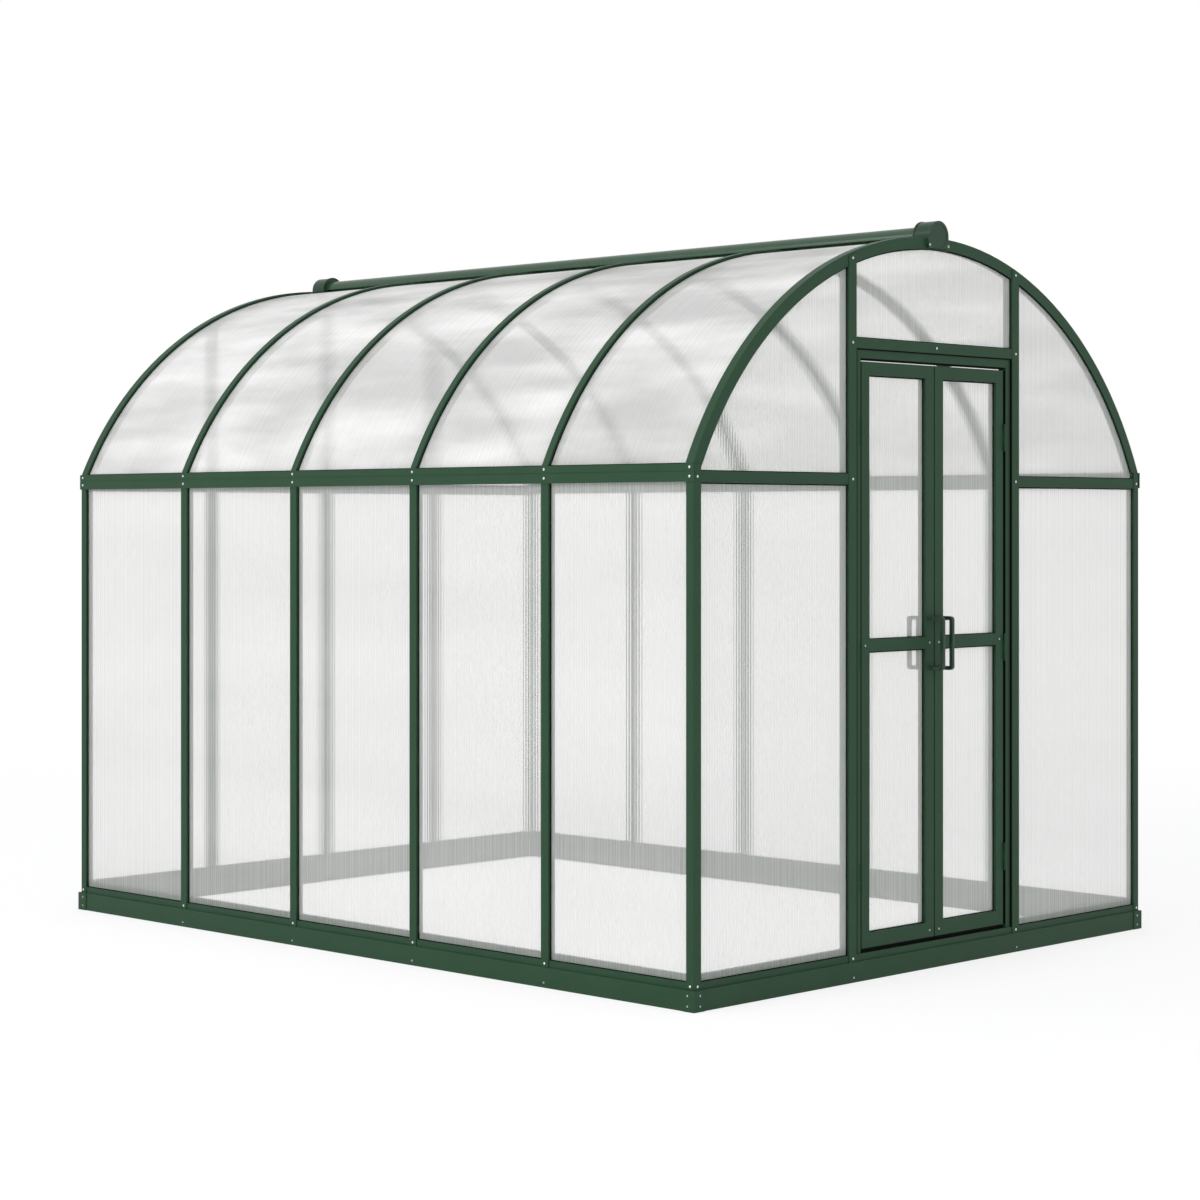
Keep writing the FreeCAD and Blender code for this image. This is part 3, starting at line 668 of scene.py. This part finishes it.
linings = [rubber_piece("jamb_strips_right", "frame", jamb_strips),
           rubber_piece("jamb_strips_left", "frame", flipped(jamb_strips)),
           rubber_piece("right_door_strips", "right_door", leaf_strips),
           rubber_piece("left_door_strips", "left_door", flipped(leaf_strips)),
           rubber_piece("door_stops", "frame", stop + flipped(stop)),
           rubber_piece("doorway_mat", "frame", mat), rubber_piece("header_lip", "frame", lip),
           rubber_piece("doorway_shade_strip", "frame", step_shade_strip + flipped(step_shade_strip) + head_shade_strip)]
print("linings:", [piece.name for piece in linings])

# %% [markdown]
# Each door has a pull on both faces: a square bar with softened edges, bent round two tight corners.
# A tube swept along a curve would look like wire, so the pull is made from a block. The block is the grip.
# Two cuts mark off its ends, and the faces of those ends that look at the door are pulled out into arms and
# then widened into feet. The outer corners are bevelled wide, the inner ones narrow, and a last bevel
# takes off every sharp edge.

# %% One door pull
bar_side = 13.0 * mm
outer_bend = 14.0 * mm
inner_bend = 4.0 * mm
bar_edge = 2.5 * mm
foot_height = 4.0 * mm
foot_spread = 1.5
smooth_degrees = 40.0
same_place = 0.1 * mm


def bend_corner(piece, y, heights, radius, steps):
    """Bevels the edges that run across the bar at a depth y and at some heights."""
    bpy.ops.object.mode_set(mode="EDIT")
    bpy.ops.mesh.select_mode(type="EDGE")
    bpy.ops.mesh.select_all(action="DESELECT")
    bpy.ops.object.mode_set(mode="OBJECT")
    points = piece.data.vertices
    for edge in piece.data.edges:
        ends = [points[n].co for n in edge.vertices]
        at_depth = all(abs(p.y - y) < same_place for p in ends)
        edge.select = at_depth and all(min(abs(p.z - z) for z in heights) < same_place for p in ends)
    bpy.ops.object.mode_set(mode="EDIT")
    bpy.ops.mesh.bevel(offset=radius, segments=steps, affect="EDGES")
    bpy.ops.mesh.select_mode(type="FACE")
    bpy.ops.object.mode_set(mode="OBJECT")


def pull_bar(x, grip, face, low, high):
    """A pull from the face of a door out to the depth of its grip, between two heights."""
    inward = math.copysign(1, face - grip)
    inner = grip + inward * bar_side
    bpy.ops.object.select_all(action="DESELECT")
    bpy.ops.mesh.primitive_cube_add(size=1, location=(x, (grip + inner) / 2, (low + high) / 2),
                                    scale=(bar_side, bar_side, high - low))
    piece = bpy.context.object
    bpy.ops.object.transform_apply(location=True, rotation=True, scale=True)
    bends = (low + bar_side, high - bar_side)
    bpy.ops.object.mode_set(mode="EDIT")
    for z in bends:
        bpy.ops.mesh.select_all(action="SELECT")
        bpy.ops.mesh.bisect(plane_co=(x, grip, z), plane_no=(0, 0, 1))
    bpy.ops.mesh.select_mode(type="FACE")
    bpy.ops.mesh.select_all(action="DESELECT")
    bpy.ops.object.mode_set(mode="OBJECT")
    for side in piece.data.polygons:
        side.select = side.normal.y * inward > straight and not bends[0] < side.center.z < bends[1]
    bpy.ops.object.mode_set(mode="EDIT")
    arm = face - inner - inward * foot_height
    bpy.ops.mesh.extrude_region_move(TRANSFORM_OT_translate={"value": (0, arm, 0)})
    bpy.ops.mesh.extrude_region_move(TRANSFORM_OT_translate={"value": (0, inward * foot_height, 0)})
    bpy.ops.transform.resize(value=(foot_spread, 1, 1))
    bpy.ops.object.mode_set(mode="OBJECT")
    bend_corner(piece, grip, (low, high), outer_bend, steps=6)
    bend_corner(piece, inner, bends, inner_bend, steps=3)
    apply_modifier(piece, "BEVEL", width=bar_edge, segments=3, limit_method="ANGLE")
    bpy.ops.object.shade_smooth_by_angle(angle=math.radians(smooth_degrees))
    piece.data.materials.append(pull_coat)
    return piece


print("pulls of a", bar_side / mm, "mm bar")

# %% [markdown]
# The pulls stand where the solid ones do, fill their box and replace them, and ride on their doors.

# %% Pulls on the doors
pulls = []
for door in doors:
    low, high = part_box(door + "_pulls")
    leaf_front, leaf_back = [corner.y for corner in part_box(door + "_meeting_stile")]
    middle_x = (low.x + high.x) / 2
    bars = [pull_bar(middle_x, low.y, leaf_front, low.z, high.z),
            pull_bar(middle_x, high.y, leaf_back, low.z, high.z)]
    piece = join(bars, door + "_pull_bars")
    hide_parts(door + "_pulls")
    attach(piece, door)
    pulls.append(piece)
print("pulls:", [(piece.name, len(piece.data.polygons)) for piece in pulls])

# %% [markdown]
# One screw is modelled: a flat cylinder whose top is drawn in twice, for the rounded shoulder and then for
# the sunk drive. Copies are turned to face out of each bar, and joined into one piece for each group.

# %% One screw
head_radius = 4.3 * mm
head_rim = 1.0 * mm
head_sides = 12
shoulder = 1.4 * mm
shoulder_rise = 0.9 * mm
drive_ring = 1.3 * mm
drive_depth = 0.9 * mm

bpy.ops.object.select_all(action="DESELECT")
bpy.ops.mesh.primitive_cylinder_add(vertices=head_sides, radius=head_radius, depth=head_rim,
                                    location=(0, 0, head_rim / 2))
screw = bpy.context.object
bpy.ops.object.transform_apply(location=True, rotation=True, scale=True)
for face in screw.data.polygons:
    face.select = face.normal.z > straight
bpy.ops.object.mode_set(mode="EDIT")
bpy.ops.mesh.select_mode(type="FACE")
bpy.ops.mesh.inset(thickness=shoulder, depth=shoulder_rise)
bpy.ops.mesh.inset(thickness=drive_ring)
bpy.ops.mesh.inset(thickness=0.0, depth=-drive_depth)
bpy.ops.object.mode_set(mode="OBJECT")
screw.data.materials.append(zinc)


def drive(name, body, places, spread=1.0):
    """Copies of the screw at (point, outward) places, joined into one piece. Spread widens their heads."""
    copies = []
    for point, outward in places:
        turn = Vector(outward).to_track_quat("Z", "Y").to_matrix().to_4x4()
        widen = Matrix.Diagonal((spread, spread, 1, 1))
        copy = screw.copy()
        copy.data = screw.data.copy()
        copy.data.transform(Matrix.Translation(point) @ turn @ widen)
        bpy.context.scene.collection.objects.link(copy)
        copies.append(copy)
    piece = join(copies, name)
    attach(piece, body)
    return piece


print("screw:", len(screw.data.polygons), "faces")

# %% [markdown]
# The places of the screws are worked out from the boxes of the bars that they hold, so they stay on their
# bars. Where a node holds several posts, the middle of each is found as the hinges were above.
# On the long sides every post has two screws at the eave and one at its foot, each corner bracket has two,
# and the sill has one under each post between the corners.
# Screws in the outermost plates are driven almost flush, because nothing stands proud of the house there.

# %% Screws of the long sides
foot_up = 11 * mm
fascia_up = 16 * mm
eave_downs = (11 * mm, 39 * mm)
bracket_ups = (17 * mm, 49 * mm)
bracket_in = 25 * mm
flush = 1.8 * mm
fascia_sunk = 1.75 * mm

eave_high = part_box("eave_right")[1]
sill_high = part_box("base_sill_right")[1]
post_low, post_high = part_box("side_posts_right")
corner_low, corner_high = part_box("corner_post_rear_right")
bracket_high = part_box("base_corner_brackets")[1]
corner = (corner_low + corner_high) / 2
foot = post_low.z + foot_up

side_rows = middles("side_posts_right", Y)
corner_rows = [-corner.y, corner.y]
side_places, bracket_places = [], []
for side, outward in ((-1, left), (1, right)):
    for y in side_rows + corner_rows:
        side_places += [((side * eave_high.x, y, eave_high.z - down), outward) for down in eave_downs]
        side_places.append(((side * post_high.x, y, foot), outward))
    side_places += [((side * (sill_high.x - fascia_sunk), y, fascia_up), outward) for y in side_rows]
    for y in (bracket_in - sill_high.y, sill_high.y - bracket_in):
        bracket_places += [((side * (bracket_high.x - flush), y, z), outward) for z in bracket_ups]

groups = [drive("side_screws", "frame", side_places)]
print(len(side_places), "screws in the long sides")

# %% [markdown]
# At the ends every post has a screw at its foot and at the rail, and each corner bracket has two. A post
# between the corners also has one in the sill under it and one where it meets the arch, except the middle
# post of the rear wall, which ends under the ridge. Three more hold the transom over the doors.
# The arch is a part of a circle, so its radius follows from its width and its rise.

# %% Screws of the ends
arch_half_depth = 19 * mm
ridge_room = 100 * mm

arch_low, arch_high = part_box("arch_rear")
rise = arch_high.z - arch_low.z
arch_radius = (arch_high.x ** 2 + rise ** 2) / (2 * rise)
arch_middle = arch_radius - arch_half_depth
arch_centre = arch_high.z - arch_radius


def on_arch(x):
    """Height of the middle of an arch's face."""
    return arch_centre + math.sqrt(arch_middle ** 2 - x ** 2)


rail = sum(c.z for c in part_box("gable_rail_front_right")) / 2
door_x = sum(c.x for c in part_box("door_post_right")) / 2
transom = sum(c.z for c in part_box("door_transom")) / 2
end_places = []
for side, outward, columns in ((-1, front, [-door_x, door_x]), (1, rear, middles("rear_posts", X))):
    face = side * corner_high.y
    for x in columns + [-corner.x, corner.x]:
        end_places += [((x, face, z), outward) for z in (foot, rail)]
    for x in columns:
        end_places.append(((x, side * (sill_high.y - fascia_sunk), fascia_up), outward))
    end_places += [((x, face, on_arch(x)), outward) for x in columns if abs(x) > ridge_room]
    for x in (bracket_in - sill_high.x, sill_high.x - bracket_in):
        bracket_places += [((x, side * (bracket_high.y - flush), z), outward) for z in bracket_ups]
end_places += [((x, -corner_high.y, transom), front) for x in (-door_x, door_x)]
end_places.append(((0, transom_low.y, transom), front))

groups += [drive("end_screws", "frame", end_places), drive("bracket_screws", "frame", bracket_places)]
print(len(end_places), "screws in the ends,", len(bracket_places), "in the brackets")

# %% [markdown]
# The ridge caps have two screws each in the foot of the shield, with wider heads, because they are sunk and
# only their tops show. Each door has screws where its rails meet its stiles, and they ride on their doors.

# %% Cap and door screws
cap_out = 50 * mm
cap_up = 10 * mm
cap_spread = 1.4
corner_in = 22 * mm
door_sunk = 1.65 * mm

cap_low, cap_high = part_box("ridge_cap_rear")
cap_places = [((x, side * (cap_high.y - flush), cap_low.z + cap_up), outward)
              for side, outward in ((-1, front), (1, rear)) for x in (-cap_out, cap_out)]
groups.append(drive("cap_screws", "frame", cap_places, cap_spread))
for door in doors:
    meeting_low, meeting_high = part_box(door + "_meeting_stile")
    hinge_low, hinge_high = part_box(door + "_hinge_stile")
    middle_rail = middles(door + "_rails", Z)[1]
    meeting_x = (meeting_low.x + meeting_high.x) / 2
    hinge_x = (hinge_low.x + hinge_high.x) / 2
    deep = meeting_low.y + door_sunk
    door_places = [((meeting_x, deep, z), front) for z in (meeting_low.z + corner_in, middle_rail)]
    door_places.append(((hinge_x, deep, middle_rail), front))
    groups.append(drive(door + "_screws", door, door_places))
bpy.data.objects.remove(screw)
print("screw groups:", [g.name for g in groups])
